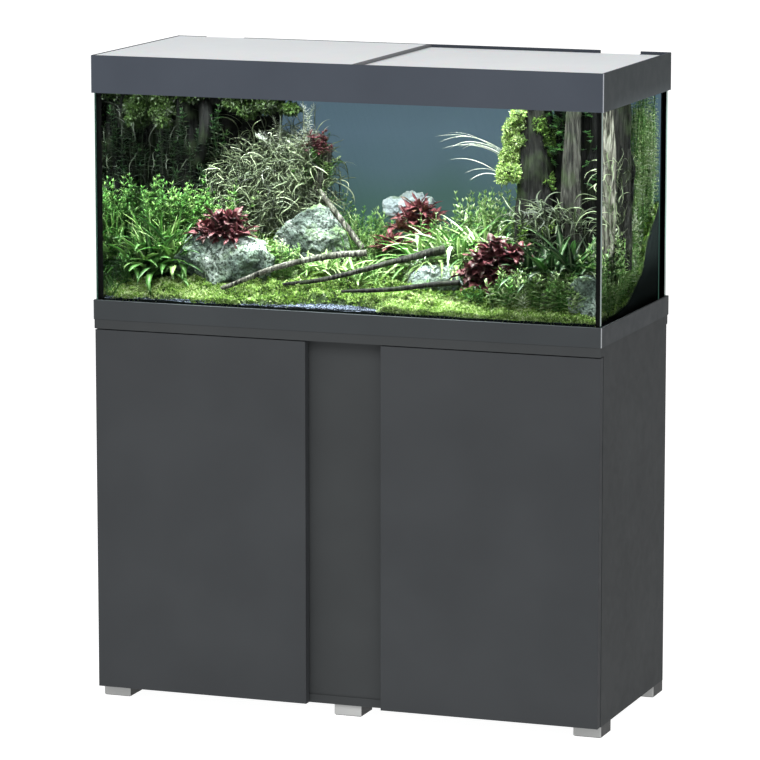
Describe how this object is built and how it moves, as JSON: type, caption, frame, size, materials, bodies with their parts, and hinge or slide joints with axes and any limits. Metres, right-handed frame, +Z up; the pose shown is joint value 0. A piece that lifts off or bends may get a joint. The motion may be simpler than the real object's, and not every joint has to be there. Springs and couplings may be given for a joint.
{
  "type": "aquarium on stand",
  "caption": "Rectangular planted glass aquarium with a flat sliding-lid hood, standing on a dark cabinet with two hinged doors.",
  "frame": {"origin": "on the floor, under the middle of the stand", "axes": "+X to the right, -Y to the front with the doors, +Z up"},
  "size_m": [1.01, 0.43, 1.24],
  "materials": {
    "anthracite_board": "matt anthracite melamine board",
    "door_board": "matt anthracite lacquered board",
    "back_board": "thin grey fibreboard",
    "foot_plastic": "silver grey moulded plastic",
    "glide_felt": "dense felt",
    "hinge_steel": "nickel plated pressed steel",
    "fitting_zinc": "die-cast zinc",
    "bumper_rubber": "soft clear rubber",
    "frame_plastic": "fine-grained anthracite plastic",
    "foam_black": "closed-cell foam",
    "tank_glass": "clear float glass with polished edges",
    "silicone_black": "cured black silicone",
    "film_blue": "blue-grey background film",
    "hood_plastic": "fine-grained slate grey plastic",
    "lid_plastic": "pale grey satin sheet",
    "profile_plastic": "dark extruded grip profile",
    "lamp_aluminium": "satin anodised",
    "led_board": "white lacquered circuit board",
    "diffuser_acrylic": "frosted clear acrylic",
    "lamp_plastic": "black moulded plastic",
    "filter_plastic": "black moulded plastic",
    "sponge": "open-cell filter foam",
    "dial_plastic": "ribbed moulded plastic",
    "heater_glass": "clear tube",
    "element_steel": "metal sheath",
    "suction_rubber": "soft black rubber",
    "gravel": "fine blue-grey gravel",
    "rock": "rough grey stone",
    "driftwood": "dark weathered root wood",
    "moss": "dense carpet plants and moss",
    "red_leaves": "thin red leaves",
    "green_leaves": "thin green leaves",
    "grass_leaves": "narrow curling pale green leaves"
  },
  "bodies": {
    "stand_and_tank": {"side_panel_left": "anthracite_board", "side_panel_right": "anthracite_board", "partition_left": "anthracite_board", "partition_right": "anthracite_board", "middle_panel": "anthracite_board", "bottom_panel": "anthracite_board", "top_panel": "anthracite_board", "cam_fittings": "fitting_zinc", "back_panel": "back_board", "left_shelf": "anthracite_board", "shelf_pins": "fitting_zinc", "feet": "foot_plastic", "foot_pads": "glide_felt", "left_hinge_arms": "hinge_steel", "right_hinge_arms": "hinge_steel", "hinge_pins": "hinge_steel", "door_bumpers": "bumper_rubber", "bottom_frame": "frame_plastic", "foam_strip": "foam_black", "bottom_pane": "tank_glass", "front_pane": "tank_glass", "back_pane": "tank_glass", "left_pane": "tank_glass", "right_pane": "tank_glass", "glass_braces": "tank_glass", "background_film": "film_blue", "silicone_seams": "silicone_black", "filter_canister": "filter_plastic", "filter_sponge": "sponge", "filter_head": "filter_plastic", "heater_tube": "heater_glass", "heater_element": "element_steel", "heater_cap": "filter_plastic", "suction_mounts": "suction_rubber", "gravel_bed": "gravel", "rocks": "rock", "driftwood_left": "driftwood", "driftwood_right": "driftwood", "moss": "moss", "branches": "driftwood", "red_plants": "red_leaves", "leaf_plants_left": "green_leaves", "leaf_plants_right": "green_leaves", "grass_plants": "grass_leaves"},
    "left_door": {"left_door": "door_board", "left_hinge_cups": "hinge_steel"},
    "right_door": {"right_door": "door_board", "right_hinge_cups": "hinge_steel"},
    "hood": {"hood_frame": "hood_plastic", "lamp_housing": "lamp_aluminium", "lamp_led_board": "led_board", "lamp_diffuser": "diffuser_acrylic", "lamp_end_caps": "lamp_plastic", "lamp_holders": "lamp_plastic"},
    "left_lid": {"left_lid": "lid_plastic", "left_lid_profile": "profile_plastic"},
    "right_lid": {"right_lid": "lid_plastic"},
    "flow_dial": {"filter_flow_dial": "dial_plastic"},
    "impeller": {"filter_impeller": "filter_plastic"},
    "temperature_dial": {"heater_dial": "dial_plastic"}
  },
  "joints": [
    {"name": "left_door_hinge", "type": "hinge", "parent": "stand_and_tank", "child": "left_door", "pos_m": [-0.495, -0.2035, 0.371], "axis": [0, 0, -1], "range_deg": [0, 95]},
    {"name": "right_door_hinge", "type": "hinge", "parent": "stand_and_tank", "child": "right_door", "pos_m": [0.495, -0.2035, 0.371], "axis": [0, 0, 1], "range_deg": [0, 95]},
    {"name": "hood_lift", "type": "slide", "parent": "stand_and_tank", "child": "hood", "axis": [0, 0, 1], "range_m": [0, 0.1]},
    {"name": "left_lid_slide", "type": "slide", "parent": "hood", "child": "left_lid", "axis": [1, 0, 0], "range_m": [0, 0.47]},
    {"name": "right_lid_slide", "type": "slide", "parent": "hood", "child": "right_lid", "axis": [1, 0, 0], "range_m": [-0.49, 0]},
    {"name": "flow_dial_turn", "type": "hinge", "parent": "stand_and_tank", "child": "flow_dial", "pos_m": [-0.443, 0.154, 1.15], "axis": [0, 0, 1], "range_deg": [0, 120]},
    {"name": "impeller_spin", "type": "hinge", "parent": "stand_and_tank", "child": "impeller", "pos_m": [-0.443, 0.154, 1.111], "axis": [0, 0, 1], "continuous": true},
    {"name": "temperature_dial_turn", "type": "hinge", "parent": "stand_and_tank", "child": "temperature_dial", "pos_m": [-0.352, 0.18, 1.13], "axis": [0, 0, 1], "range_deg": [0, 270]}
  ]
}
